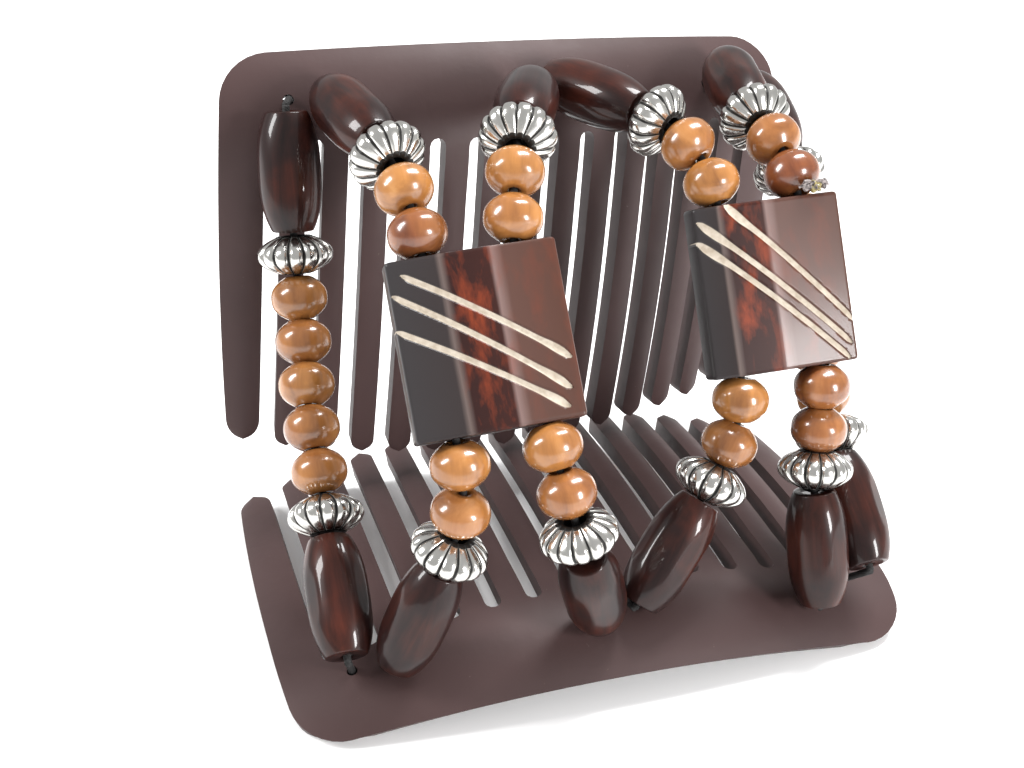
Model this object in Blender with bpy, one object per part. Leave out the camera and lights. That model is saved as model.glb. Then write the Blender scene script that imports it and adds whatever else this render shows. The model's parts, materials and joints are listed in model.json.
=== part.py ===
"""Double hair comb: two curved combs joined by six beaded strings on three elastic loops.

+X runs across the combs, -Y is the front, +Z is up. The lower comb lies on the floor plane z = 0 with
its spine in front; the upper comb stands behind it, teeth down, on the lower comb's tooth tips.
"""

import math

import bmesh
import bpy
from mathutils import Euler, Matrix, Vector

MM = 0.001

# Combs. u runs across a comb, s runs along its teeth from the spine edge, both on the outer face.
COMB_HALF_WIDTH = 49.0 * MM
COMB_LENGTH = 70.0 * MM
COMB_THICKNESS = 3.0 * MM
WIDEST_AT = 18.0 * MM
TIP_NARROWING = 2.0 * MM
ACROSS_RADIUS = 167.0 * MM
ALONG_RADIUS = 308.0 * MM
ROLL_RADIUS = 21.0 * MM
ROLL_START = 17.5 * MM
SPINE_CROWN = 3.0 * MM
TIP_CROWN = 4.8 * MM
CORNER_RADIUS = 7.0 * MM
SLOT_ROOT = 16.5 * MM
TOOTH_COUNT = 15
TOOTH_PITCH = 6.3 * MM
TOOTH_WIDTH = 3.8 * MM
HOLE_ROW = 9.5 * MM
HOLE_PAIR_PITCH = 36.0 * MM
HOLE_PAIR_GAP = 5.4 * MM
HOLE_RADIUS = 1.3 * MM
FLOOR_TRIM = 0.35 * MM

# Brings the middle of the assembly's footprint to the origin.
CENTRE_SHIFT = Vector((-0.74, -3.05, 0.0)) * MM

# Where the combs stand, before that shift: the middle of each outer face, then its tilt.
LOWER_PLACE = Vector((0.0, 0.0, 12.0)) * MM
LOWER_TILT = Euler((math.radians(-2.95), 0.0, 0.0))
UPPER_PLACE = Vector((1.4, 23.0, 45.9)) * MM
UPPER_TURN = math.radians(7.3)
UPPER_LEAN = math.radians(-3.7)
UPPER_ROLL = math.radians(5.7)

# Beads: length along the string, outside radius.
LONG_LENGTH, LONG_RADIUS = 17.5 * MM, 4.6 * MM
PUMPKIN_LENGTH, PUMPKIN_RADIUS = 5.6 * MM, 5.6 * MM
ROUND_LENGTH, ROUND_RADIUS = 5.9 * MM, 4.15 * MM
PUMPKIN_LOBES = 14
LOBE_DEPTH = 0.7 * MM
BORE_RADIUS = 1.25 * MM
PUMPKIN_BORE_RADIUS = 1.7 * MM

# Slider beads: two bores each, a faceted front.
SLIDER_LENGTH, SLIDER_THICKNESS = 24.7 * MM, 6.0 * MM
SLIDER_EDGE = 4.0 * MM
SLIDER_BORES = 12.4 * MM
SLIDERS = {
    "slider_bead_left": {
        "place": Vector((-17.0, -18.0, 55.3)) * MM,
        "lean_roll_turn": (-36, -5, -6),
        "width": 23.5 * MM,
        "ridges": (0.31, 0.61),
    },
    "slider_bead_right": {
        "place": Vector((28.5, -10.3, 53.6)) * MM,
        "lean_roll_turn": (-30, -2, -3),
        "width": 22.3 * MM,
        "ridges": (0.16, 0.48),
    },
}

ELASTIC_RADIUS = 0.5 * MM
ELASTIC_BEHIND = 1.3 * MM
CORD_LEAD = 0.9 * MM
HOLE_LEAD = 0.15 * MM

# Strings, left to right. Each point, in mm, is where two beads meet, or where the string's first or last
# bead ends, from the upper comb down; a slider bead's own bore ends stand between above and below.
STRINGS = [
    {
        "slider": None,
        "beads": ("LPRRRRRPL", ""),
        "above": [(-35.7, 22.5, 74.7), (-36.6, 16.5, 57.7), (-36.8, 14.0, 51.8), (-37.0, 10.7, 46.2),
                  (-37.5, 6.8, 41.0), (-38.1, 2.2, 36.4), (-38.2, -2.4, 31.7), (-38.1, -6.8, 26.8),
                  (-38.4, -11.5, 22.4), (-39.1, -26.0, 11.7)],
        "below": [],
    },
    {
        "slider": ("slider_bead_left", -1),
        "beads": ("LPRR", "RRPL"),
        "above": [(-29.0, 24.9, 75.7), (-25.4, 7.3, 74.7), (-24.3, 1.0, 73.0), (-23.7, -5.0, 69.7)],
        "below": [(-22.5, -27.6, 38.2), (-23.6, -28.0, 31.6), (-25.6, -27.5, 25.9), (-32.2, -26.5, 9.5)],
    },
    {
        "slider": ("slider_bead_left", 1),
        "beads": ("LPRR", "RRPL"),
        "above": [(1.7, 21.8, 74.9), (-5.4, 5.3, 76.4), (-7.7, -0.9, 74.7), (-9.6, -6.2, 71.1)],
        "below": [(-9.6, -29.4, 40.4), (-8.3, -32.0, 34.4), (-6.8, -32.7, 28.1), (-1.7, -26.9, 11.2)],
    },
    {
        "slider": ("slider_bead_right", -1),
        "beads": ("LPRR", "RRPL"),
        "above": [(6.2, 27.3, 73.6), (15.5, 12.1, 73.1), (18.6, 6.8, 72.1), (21.2, 1.1, 69.5)],
        "below": [(21.1, -18.9, 36.4), (18.1, -20.5, 30.9), (14.8, -22.0, 26.1), (4.0, -26.7, 12.9)],
    },
    {
        "slider": ("slider_bead_right", 1),
        "beads": ("LPRR", "RRPL"),
        "above": [(37.0, 32.0, 71.5), (33.4, 14.1, 71.1), (33.5, 8.0, 70.4), (34.2, 1.5, 68.9)],
        "below": [(34.1, -19.2, 37.0), (33.1, -21.1, 31.2), (32.2, -23.4, 25.9), (32.4, -29.4, 8.8)],
    },
    {
        "slider": None,
        "beads": ("LPRRRRRPL", ""),
        "above": [(42.4, 32.7, 67.2), (40.9, 15.1, 62.5), (40.2, 8.7, 58.7), (40.6, 4.0, 52.9),
                  (40.9, 1.1, 46.5), (40.6, -1.8, 40.1), (40.3, -5.7, 34.1), (40.3, -10.4, 29.1),
                  (40.1, -14.2, 25.1), (40.4, -28.6, 13.3)],
        "below": [],
    },
]
LOOP_NAMES = ("elastic_loop_left", "elastic_loop_middle", "elastic_loop_right")

COMB_BROWN = (0.075, 0.045, 0.042, 1)
WOOD_CARAMEL = (0.42, 0.20, 0.07, 1)
WOOD_DARK = (0.07, 0.02, 0.014, 1)
SILVER = (0.62, 0.61, 0.58, 1)
HORN = (0.08, 0.035, 0.025, 1)
BLACK = (0.01, 0.01, 0.01, 1)


def clear_scene():
    for obj in list(bpy.data.objects):
        bpy.data.objects.remove(obj, do_unlink=True)


def material(name, colour, roughness, metallic=0.0):
    made = bpy.data.materials.new(name)
    made.use_nodes = True
    shader = made.node_tree.nodes["Principled BSDF"]
    shader.inputs["Base Color"].default_value = colour
    shader.inputs["Roughness"].default_value = roughness
    shader.inputs["Metallic"].default_value = metallic
    return made


def add_object(name, data, finish, pivot=None):
    obj = bpy.data.objects.new(name, data)
    bpy.context.scene.collection.objects.link(obj)
    if not data.materials:
        data.materials.append(finish)
    if pivot:
        obj.parent = pivot
        obj.matrix_parent_inverse = Matrix.Translation(-pivot.location)
    return obj


def add_pivot(name, place):
    pivot = bpy.data.objects.new(name, None)
    pivot.location = place
    bpy.context.scene.collection.objects.link(pivot)
    return pivot


def smooth(mesh, angle=math.radians(40)):
    mesh.shade_smooth()
    mesh.set_sharp_from_angle(angle=angle)


# ---- combs ----


def comb_point(u, s, w=0.0):
    """The point of the comb's own frame at u, s, raised by w along the outer face's normal."""
    middle = COMB_LENGTH / 2
    turn = (max(s, ROLL_START) - middle) / ALONG_RADIUS
    y = ALONG_RADIUS * math.sin(turn)
    z = ALONG_RADIUS * (math.cos(turn) - 1)
    if s < ROLL_START:
        rolled = turn + (s - ROLL_START) / ROLL_RADIUS
        y += ROLL_RADIUS * (math.sin(rolled) - math.sin(turn))
        z += ROLL_RADIUS * (math.cos(rolled) - math.cos(turn))
        turn = rolled
    y += w * math.sin(turn)
    z += w * math.cos(turn)
    across = u / ACROSS_RADIUS
    radius = ACROSS_RADIUS + z
    return Vector((radius * math.sin(across), y, radius * math.cos(across) - ACROSS_RADIUS))


def comb_normal(u, s):
    return (comb_point(u, s, MM) - comb_point(u, s)).normalized()


def half_width(s):
    if s < WIDEST_AT:
        return COMB_HALF_WIDTH
    return COMB_HALF_WIDTH - TIP_NARROWING * ((s - WIDEST_AT) / (COMB_LENGTH - WIDEST_AT)) ** 2


def spine_edge(u):
    """Where the spine's edge is at u: crowned in the middle, rounded at the corners."""
    edge = SPINE_CROWN * (u / COMB_HALF_WIDTH) ** 2
    past = abs(u) - (COMB_HALF_WIDTH - CORNER_RADIUS)
    if past > 0:
        edge += CORNER_RADIUS - math.sqrt(max(CORNER_RADIUS**2 - past**2, 0))
    return edge


def tooth_columns(index):
    """The u of each column of points across a tooth, at its root."""
    last = TOOTH_COUNT - 1
    if 0 < index < last:
        middle = (index - last / 2) * TOOTH_PITCH
        return [middle - TOOTH_WIDTH / 2, middle + TOOTH_WIDTH / 2]
    inner = (last / 2 - 1) * TOOTH_PITCH + TOOTH_WIDTH / 2 + (TOOTH_PITCH - TOOTH_WIDTH)
    outer = COMB_HALF_WIDTH - CORNER_RADIUS
    columns = [inner] + [outer + CORNER_RADIUS * math.sin(math.radians(t)) for t in (40, 65, 90)]
    return columns if index else [-u for u in reversed(columns)]


def tooth_rows(columns):
    """Each row of (u, s) along a tooth, below its root, ending in a round tip."""
    wide = len(columns) > 2
    inner, outer = sorted((columns[0], columns[-1]), key=abs)
    tip = COMB_LENGTH - TIP_CROWN * ((inner + outer) / 2 / COMB_HALF_WIDTH) ** 2
    tip_radius = abs(outer - inner) / 2
    rows = []
    for k in range(1, 7):
        rows.append((SLOT_ROOT + (tip - tip_radius - SLOT_ROOT) * k / 6, 1.0))
    for angle in (35, 60, 80):
        a = math.radians(angle)
        rows.append((tip - tip_radius * (1 - math.sin(a)), math.cos(a)))
    made = []
    for s, narrow in rows:
        edge = math.copysign(half_width(s), outer) if wide else outer
        centre = (inner + edge) / 2
        row = []
        for u in columns:
            spread = inner + (u - inner) * (edge - inner) / (outer - inner)
            row.append((centre + (spread - centre) * narrow, s))
        made.append(row)
    return made


def comb_plan():
    """Rows of (u, s) points for the spine band, and the rows of each tooth."""
    teeth = [tooth_columns(i) for i in range(TOOTH_COUNT)]
    columns = [u for tooth in teeth for u in tooth]
    band = []
    for part in (0, 0.22, 0.48, 0.75, 1):
        band.append([(u, spine_edge(u) + (SLOT_ROOT - spine_edge(u)) * part) for u in columns])
    return band, teeth


def comb_mesh(name, place):
    """A comb, solid between its outer face and a face one thickness below it, drilled in pairs."""
    mesh = bpy.data.meshes.new(name)
    bm = bmesh.new()
    band, teeth = comb_plan()
    grids = []
    for w in (0.0, -COMB_THICKNESS):
        rows = [[bm.verts.new(comb_point(u, s, w)) for u, s in row] for row in band]
        quads = []
        for upper, lower in zip(rows, rows[1:]):
            for k in range(len(upper) - 1):
                quads.append((upper[k], upper[k + 1], lower[k + 1], lower[k]))
        start = 0
        for tooth in teeth:
            above = rows[-1][start:start + len(tooth)]
            start += len(tooth)
            for row in tooth_rows(tooth):
                below = [bm.verts.new(comb_point(u, s, w)) for u, s in row]
                for k in range(len(tooth) - 1):
                    quads.append((above[k], above[k + 1], below[k + 1], below[k]))
                above = below
        grids.append(quads)
    outer, inner = grids
    rim = {}
    for above, below in zip(outer, inner):
        bm.faces.new(above[::-1])
        bm.faces.new(below)
        for k in range(4):
            ends = (above[k], above[(k + 1) % 4])
            if rim.pop(ends[::-1], None) is None:
                rim[ends] = (below[k], below[(k + 1) % 4])
    for (a, b), (c, d) in rim.items():
        bm.faces.new((a, b, d, c))
    bm.transform(place)
    bmesh.ops.recalc_face_normals(bm, faces=bm.faces)
    bm.to_mesh(mesh)
    bm.free()
    smooth(mesh)
    return mesh


def hole_places():
    """(u, s) of each string's hole, left to right."""
    found = []
    for pair in (-1, 0, 1):
        for side in (-1, 1):
            found.append((pair * HOLE_PAIR_PITCH + side * HOLE_PAIR_GAP / 2, HOLE_ROW))
    return found


def drill(obj, places, name):
    """Cuts a round hole through obj at each (point, direction)."""
    bm = bmesh.new()
    for point, direction, radius, depth in places:
        turned = Vector((0, 0, 1)).rotation_difference(direction).to_matrix().to_4x4()
        bmesh.ops.create_cone(bm, cap_ends=True, segments=10, radius1=radius, radius2=radius,
                              depth=depth, matrix=Matrix.Translation(point) @ turned)
    mesh = bpy.data.meshes.new(name)
    bm.to_mesh(mesh)
    bm.free()
    cutter = bpy.data.objects.new(name, mesh)
    bpy.context.scene.collection.objects.link(cutter)
    cutter.hide_render = True
    cutter.display_type = "WIRE"
    cutter.parent = obj.parent
    cutter.matrix_parent_inverse = obj.matrix_parent_inverse
    cut = obj.modifiers.new("bores", "BOOLEAN")
    cut.operation = "DIFFERENCE"
    cut.object = cutter


def trim_to_floor(mesh):
    """Cuts the comb's lowest points off at z = 0, so that it rests on small flats."""
    bm = bmesh.new()
    bm.from_mesh(mesh)
    bmesh.ops.bisect_plane(bm, geom=bm.verts[:] + bm.edges[:] + bm.faces[:], plane_co=(0, 0, 0),
                           plane_no=(0, 0, -1), clear_outer=True)
    open_edges = [edge for edge in bm.edges if edge.is_boundary]
    bmesh.ops.holes_fill(bm, edges=open_edges, sides=0)
    bmesh.ops.recalc_face_normals(bm, faces=bm.faces)
    bm.to_mesh(mesh)
    bm.free()
    smooth(mesh)


def lower_frame():
    return Matrix.Translation(LOWER_PLACE - Vector((0, 0, FLOOR_TRIM))) @ LOWER_TILT.to_matrix().to_4x4()


def upper_frame():
    """Teeth down and outer face to the front, then turned, leant and rolled a little."""
    stood = Matrix.Rotation(math.pi, 4, "Z") @ Matrix.Rotation(-math.pi / 2, 4, "X")
    swung = Matrix.Rotation(UPPER_TURN, 4, "Z") @ Matrix.Rotation(UPPER_LEAN, 4, "X")
    return Matrix.Translation(UPPER_PLACE) @ swung @ Matrix.Rotation(UPPER_ROLL, 4, "Y") @ stood


def holes_of(place, mirrored):
    """(point on the outer face, outward direction) of each string's hole, left to right."""
    found = []
    for u, s in hole_places():
        u = -u if mirrored else u
        found.append((place @ comb_point(u, s), (place.to_3x3() @ comb_normal(u, s)).normalized()))
    return found


def add_comb(name, place, holes, finish, pivot=None, on_floor=False):
    mesh = comb_mesh(name, place)
    if on_floor:
        trim_to_floor(mesh)
    obj = add_object(name, mesh, finish, pivot)
    middle = COMB_THICKNESS / 2
    drill(obj, [(point - out * middle, out, HOLE_RADIUS, 3 * COMB_THICKNESS) for point, out in holes],
          name + "_hole_cutter")
    return obj


# ---- beads ----


def turned_mesh(name, outline, bore, segments, lobes=0):
    """A bead about Z: outline is (radius, z) from its lower to its upper end face, outside the bore."""
    mesh = bpy.data.meshes.new(name)
    bm = bmesh.new()
    loop = [(bore, outline[0][1])] + outline + [(bore, outline[-1][1])]
    rings = []
    for k in range(segments):
        angle = 2 * math.pi * k / segments
        ring = []
        for index, (radius, z) in enumerate(loop):
            if lobes and k % 2 and 1 < index < len(loop) - 2:
                radius -= LOBE_DEPTH
            ring.append(bm.verts.new((radius * math.cos(angle), radius * math.sin(angle), z)))
        rings.append(ring)
    for k, ring in enumerate(rings):
        following = rings[(k + 1) % segments]
        for j in range(len(loop)):
            n = (j + 1) % len(loop)
            bm.faces.new((ring[j], following[j], following[n], ring[n]))
    bmesh.ops.recalc_face_normals(bm, faces=bm.faces)
    bm.to_mesh(mesh)
    bm.free()
    smooth(mesh)
    return mesh


def bulged(length, radius, end_radius, power, count):
    """An outline whose radius falls from its middle to its ends as 1 - |z|^power."""
    points = []
    for k in range(count):
        t = 2 * k / (count - 1) - 1
        t = math.sin(t * math.pi / 2)
        points.append((end_radius + (radius - end_radius) * (1 - abs(t) ** power), t * length / 2))
    return points


def bead_meshes():
    long_outline = bulged(LONG_LENGTH, LONG_RADIUS, 2.3 * MM, 2.2, 5)
    round_outline = bulged(ROUND_LENGTH, ROUND_RADIUS, 1.8 * MM, 2.6, 5)
    pumpkin_outline = bulged(PUMPKIN_LENGTH, PUMPKIN_RADIUS, 2.5 * MM, 2.4, 5)
    return {
        "L": turned_mesh("long_bead", long_outline, BORE_RADIUS, 10),
        "R": turned_mesh("round_bead", round_outline, BORE_RADIUS, 10),
        "P": turned_mesh("pumpkin_bead", pumpkin_outline, PUMPKIN_BORE_RADIUS, 2 * PUMPKIN_LOBES,
                         PUMPKIN_LOBES),
    }


def slider_frame(name):
    lean, roll, turn = (math.radians(angle) for angle in SLIDERS[name]["lean_roll_turn"])
    rotation = Matrix.Rotation(turn, 4, "Z") @ Matrix.Rotation(lean, 4, "X") @ Matrix.Rotation(roll, 4, "Y")
    return Matrix.Translation(SLIDERS[name]["place"]) @ rotation


def bore_point(name, side, height):
    """A point on a slider bead's left or right bore; height is 1 at the top face and -1 at the bottom."""
    return slider_frame(name) @ Vector((side * SLIDER_BORES / 2, 0, height * SLIDER_LENGTH / 2))


def add_slider(name, finish, pivot):
    width = SLIDERS[name]["width"]
    half, deep, edge = width / 2, SLIDER_THICKNESS / 2, SLIDER_EDGE / 2
    left, right = (width * part - half for part in SLIDERS[name]["ridges"])
    section = [(-half, -edge), (left, -deep), (right, -deep), (half, -edge), (half, edge),
               (half * 0.5, deep), (-half * 0.5, deep), (-half, edge)]
    mesh = bpy.data.meshes.new(name)
    bm = bmesh.new()
    ends = []
    for z in (-SLIDER_LENGTH / 2, SLIDER_LENGTH / 2):
        ends.append([bm.verts.new((x, y, z)) for x, y in section])
    low, high = ends
    bm.faces.new(low[::-1])
    bm.faces.new(high)
    for k in range(len(section)):
        n = (k + 1) % len(section)
        bm.faces.new((low[k], low[n], high[n], high[k]))
    place = slider_frame(name)
    bm.transform(place)
    bmesh.ops.recalc_face_normals(bm, faces=bm.faces)
    bm.to_mesh(mesh)
    bm.free()
    obj = add_object(name, mesh, finish, pivot)
    along = (place.to_3x3() @ Vector((0, 0, 1))).normalized()
    bores = [(bore_point(name, side, 0), along, BORE_RADIUS, 1.5 * SLIDER_LENGTH) for side in (-1, 1)]
    drill(obj, bores, name + "_bore_cutter")
    return obj


# ---- strings ----


def beads_between(bounds, kinds):
    """(kind, upper end, lower end) of each bead, centred between its two bounds."""
    lengths = {"L": LONG_LENGTH, "P": PUMPKIN_LENGTH, "R": ROUND_LENGTH}
    placed = []
    for kind, first, other in zip(kinds, bounds, bounds[1:]):
        middle = (first + other) / 2
        half = (other - first).normalized() * lengths[kind] / 2
        placed.append((kind, middle - half, middle + half))
    return placed


def string_beads(spec):
    """The beads of one string from the top down: those above its slider bead, and those below it."""
    above = [Vector(point) * MM for point in spec["above"]]
    below = [Vector(point) * MM for point in spec["below"]]
    if spec["slider"]:
        above.append(bore_point(*spec["slider"], 1))
        below.insert(0, bore_point(*spec["slider"], -1))
    return beads_between(above, spec["beads"][0]), beads_between(below, spec["beads"][1])


def through(beads):
    """Points that lead the cord into and out of each bead's bore."""
    points = []
    for _, first, other in beads:
        points += [first.lerp(other, 0.15), first.lerp(other, 0.85)]
    return points


def cord_points(high, high_out, rising, falling, low, low_out, slider):
    """The cord of one string from behind the upper comb to behind the lower comb."""
    back = COMB_THICKNESS + ELASTIC_BEHIND
    _, top, after_top = rising[0]
    _, before_end, end = (rising + falling)[-1]
    points = [high - high_out * back, high - high_out * COMB_THICKNESS / 2, high + high_out * HOLE_LEAD]
    points.append(top + (top - after_top).normalized() * CORD_LEAD)
    points += through(rising)
    if slider:
        points += [bore_point(*slider, height) for height in (0.85, 0, -0.85)]
    points += through(falling)
    points.append(end + (end - before_end).normalized() * CORD_LEAD)
    points += [low + low_out * HOLE_LEAD, low - low_out * COMB_THICKNESS / 2, low - low_out * back]
    return points


def add_loop(name, left, right, finish, pivot):
    points = left + right[::-1]
    curve = bpy.data.curves.new(name, "CURVE")
    curve.dimensions = "3D"
    curve.bevel_depth = ELASTIC_RADIUS
    curve.bevel_resolution = 2
    spline = curve.splines.new("POLY")
    spline.points.add(len(points) - 1)
    for place, point in zip(spline.points, points):
        place.co = (*point, 1)
    spline.use_cyclic_u = True
    return add_object(name, curve, finish, pivot)


def main():
    clear_scene()
    finishes = {
        "comb": material("comb_plastic", COMB_BROWN, 0.45),
        "L": material("dark_wood", WOOD_DARK, 0.25),
        "R": material("light_wood", WOOD_CARAMEL, 0.3),
        "P": material("antique_silver", SILVER, 0.3, 1.0),
        "slider": material("horn", HORN, 0.2),
        "elastic": material("elastic", BLACK, 0.8),
    }
    lower_holes = holes_of(lower_frame(), False)
    upper_holes = holes_of(upper_frame(), True)
    web_pivot = add_pivot("web_pivot", sum((p for p, _ in lower_holes), Vector()) / len(lower_holes))
    upper_pivot = add_pivot("upper_pivot", sum((p for p, _ in upper_holes), Vector()) / len(upper_holes))
    add_comb("lower_comb", lower_frame(), lower_holes, finishes["comb"], None, True)
    add_comb("upper_comb", upper_frame(), upper_holes, finishes["comb"], upper_pivot)
    for name in SLIDERS:
        add_slider(name, finishes["slider"], web_pivot)
    meshes = bead_meshes()
    titles = {"L": "long_bead", "P": "pumpkin_bead", "R": "round_bead"}
    cords = []
    for number, spec in enumerate(STRINGS):
        (high, high_out), (low, low_out) = upper_holes[number], lower_holes[number]
        rising, falling = string_beads(spec)
        counts = {}
        for kind, first, other in rising + falling:
            counts[kind] = counts.get(kind, 0) + 1
            name = f"{titles[kind]}_{number + 1}_{counts[kind]}"
            bead = add_object(name, meshes[kind], finishes[kind], web_pivot)
            turned = Vector((0, 0, 1)).rotation_difference(first - other)
            bead.rotation_euler = turned.to_euler()
            bead.location = (first + other) / 2
        cords.append(cord_points(high, high_out, rising, falling, low, low_out, spec["slider"]))
    for name, left, right in zip(LOOP_NAMES, cords[::2], cords[1::2]):
        add_loop(name, left, right, finishes["elastic"], web_pivot)
    for obj in bpy.data.objects:
        if not obj.parent:
            obj.location += CENTRE_SHIFT


main()
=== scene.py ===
"""Double hair comb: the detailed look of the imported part, with its camera, floor and lights.

Lengths are in metres in the row frame: +X along the combs, -Y the front, +Z up. Bead shapes are built
about their own Z axis, and comb shapes on (u, s): u across the comb, s along the teeth from the spine.
"""

import json
import math
import random

import bmesh
import bpy
from mathutils import Matrix, Vector

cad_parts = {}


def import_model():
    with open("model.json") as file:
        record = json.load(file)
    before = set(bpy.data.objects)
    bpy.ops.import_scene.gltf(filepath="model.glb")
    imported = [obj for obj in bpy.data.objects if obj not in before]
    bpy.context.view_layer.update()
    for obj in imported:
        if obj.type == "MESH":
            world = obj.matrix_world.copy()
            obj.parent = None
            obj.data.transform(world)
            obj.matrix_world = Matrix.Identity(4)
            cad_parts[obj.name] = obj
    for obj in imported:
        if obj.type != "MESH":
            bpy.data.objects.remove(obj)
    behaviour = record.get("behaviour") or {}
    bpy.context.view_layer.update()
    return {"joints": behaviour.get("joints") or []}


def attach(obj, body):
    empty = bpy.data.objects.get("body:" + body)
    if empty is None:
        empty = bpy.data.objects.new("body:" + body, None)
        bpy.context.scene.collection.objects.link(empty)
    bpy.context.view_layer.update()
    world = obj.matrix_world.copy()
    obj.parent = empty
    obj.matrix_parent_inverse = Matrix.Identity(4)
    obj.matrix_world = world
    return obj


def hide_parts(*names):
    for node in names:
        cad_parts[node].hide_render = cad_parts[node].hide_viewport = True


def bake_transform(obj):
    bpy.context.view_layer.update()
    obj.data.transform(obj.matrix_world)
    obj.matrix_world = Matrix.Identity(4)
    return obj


MM = 0.001

# Combs.
COMB_HALF_WIDTH = 49.0 * MM
COMB_LENGTH = 70.0 * MM
COMB_THICKNESS = 3.0 * MM
WIDEST_AT = 18.0 * MM
TIP_NARROWING = 2.0 * MM
ACROSS_RADIUS = 167.0 * MM
ALONG_RADIUS = 308.0 * MM
ROLL_RADIUS = 21.0 * MM
ROLL_START = 17.5 * MM
SPINE_CROWN = 3.0 * MM
TIP_CROWN = 4.8 * MM
CORNER_RADIUS = 7.0 * MM
SLOT_ROOT = 16.5 * MM
TOOTH_COUNT = 15
TOOTH_PITCH = 6.3 * MM
TOOTH_WIDTH = 3.8 * MM
TOOTH_DOME = 0.35 * MM
TOOTH_ROWS = 22
DOME_ROWS = 3
BAND_ROWS = 10
# Columns of points: across a narrow tooth, as shares of its width, and round a corner, in degrees.
TOOTH_COLUMNS = (-0.5, -0.28, 0, 0.28, 0.5)
CORNER_ANGLES = (12, 24, 36, 48, 59, 70, 80, 90)
SLOT_ANGLES = (-60, -30, 0, 30, 60)
TIP_ANGLES = (15, 30, 45, 58, 70, 80)
UPPER_HOLE_ROW = 9.5 * MM
LOWER_HOLE_ROW = 12.0 * MM
HOLE_PAIR_PITCH = 36.0 * MM
HOLE_PAIR_GAP = 5.4 * MM
HOLE_RADIUS = 0.8 * MM
EDGE_ROUND = 0.75 * MM
SPINE_ROUND = 1.3 * MM
SHARP_ANGLE = math.radians(50)
COMB_SEEDS = {"lower_comb": 3.0, "upper_comb": 0.0}

# Where the combs stand.
CENTRE_SHIFT = Vector((-0.74, -3.05, 0.0)) * MM
LOWER_PLACE = Vector((0.0, 0.0, 11.65)) * MM
LOWER_TILT = math.radians(-2.95)
UPPER_PLACE = Vector((1.4, 23.0, 45.9)) * MM
UPPER_TURN = math.radians(7.3)
UPPER_LEAN = math.radians(-3.7)
UPPER_ROLL = math.radians(5.7)

# Beads.
LONG_LENGTH, LONG_RADIUS, LONG_END = 17.5 * MM, 4.6 * MM, 3.1 * MM
LONG_FULLNESS, PUMPKIN_FULLNESS, ROUND_FULLNESS = 2.9, 2.3, 2.5
PUMPKIN_LENGTH, PUMPKIN_RADIUS, PUMPKIN_END = 5.6 * MM, 5.6 * MM, 2.5 * MM
ROUND_LENGTH, ROUND_RADIUS, ROUND_END = 6.4 * MM, 4.15 * MM, 1.9 * MM
BORE_RADIUS, PUMPKIN_BORE_RADIUS = 0.8 * MM, 1.6 * MM
SLIDER_BORE_RADIUS = 1.25 * MM
PUMPKIN_LOBES = 14
GROOVE_DEPTH = 0.8 * MM
# A ribbed bead is plain inside this radius, and its lobes reach their full depth over this rise.
PUMPKIN_PLAIN = PUMPKIN_END * 0.72
PUMPKIN_RISE = 1.2 * MM
LOBE_POWER = 2.2
GROOVE_SHADE = 2.2
CARVED_FLATS = 7
CARVED_REACH = 0.955
CARVED_ABOVE = 2.6 * MM
BEAD_SEGMENTS = 72
SLOT_OF = {"long": "dark_wood", "round": "light_wood", "pumpkin": "antique_silver"}

# How red each string's round beads are, from the top: 0 is caramel, 1 is red-brown.
ROUND_TONES = {
    1: (0.15, 0.25, 0.2, 0.4, 0.35),
    2: (0.05, 0.7, 0.3, 0.25),
    3: (0.1, 0.25, 0.1, 0.45),
    4: (0.3, 0.1, 0.1, 0.35),
    5: (0.45, 0.95, 0.7, 0.6),
    6: (0.3, 0.3, 0.3, 0.5, 0.4),
}
# The long beads with carved flats, as (string, number from the top).
FACETED = {(2, 1), (5, 1), (1, 2), (2, 2), (3, 2), (4, 2), (5, 2), (6, 2)}

# Slider beads. Grooves run from (across, down) to (across, down), as fractions of the front face, and
# flare is how far along a groove it widens.
SLIDER_LENGTH, SLIDER_THICKNESS, SLIDER_EDGE = 24.7 * MM, 6.0 * MM, 4.0 * MM
SLIDER_BORES = 12.4 * MM
SLIDER_ROUND = 0.45 * MM
GROOVE_WIDTH = 1.0 * MM
GROOVE_FLARE = 0.5
FLARE_LENGTH = 0.08
GROOVE_SAG = 0.10
CARVE_DEPTH = 0.35 * MM
STEPS_ACROSS, STEPS_DOWN = 150, 160
SLIDERS = {
    "slider_bead_left": {
        "place": Vector((-17.0, -18.0, 55.3)) * MM,
        "lean_roll_turn": (-36, -5, -6),
        "width": 23.5 * MM,
        "ridges": (0.31, 0.61),
        "flare": 0.92,
        "grooves": [
            ((0.08, 0.085), (0.97, 0.67)),
            ((0.01, 0.187), (0.94, 0.835)),
            ((0.0, 0.38), (0.91, 0.935)),
        ],
        "seed": 7.0,
    },
    "slider_bead_right": {
        "place": Vector((28.5, -10.3, 53.6)) * MM,
        "lean_roll_turn": (-30, -2, -3),
        "width": 22.3 * MM,
        "ridges": (0.16, 0.48),
        "flare": 0.1,
        "grooves": [
            ((0.20, 0.0), (1.0, 0.765)),
            ((0.02, 0.085), (0.97, 0.9)),
            ((0.0, 0.2), (0.945, 0.985)),
        ],
        "seed": 19.0,
    },
}

ELASTIC_RADIUS = 0.55 * MM
ELASTIC_BEHIND = 1.3 * MM
CORD_LEAD = 0.9 * MM
ELASTIC_LOOPS = ("elastic_loop_left", "elastic_loop_middle", "elastic_loop_right")

# The right loop's knot lies below this round bead, counted from the top of its string.
KNOT_STRING, KNOT_BELOW = 5, 3
KNOT_OFFSET = Vector((0.9, -2.3, 2.2)) * MM
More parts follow.
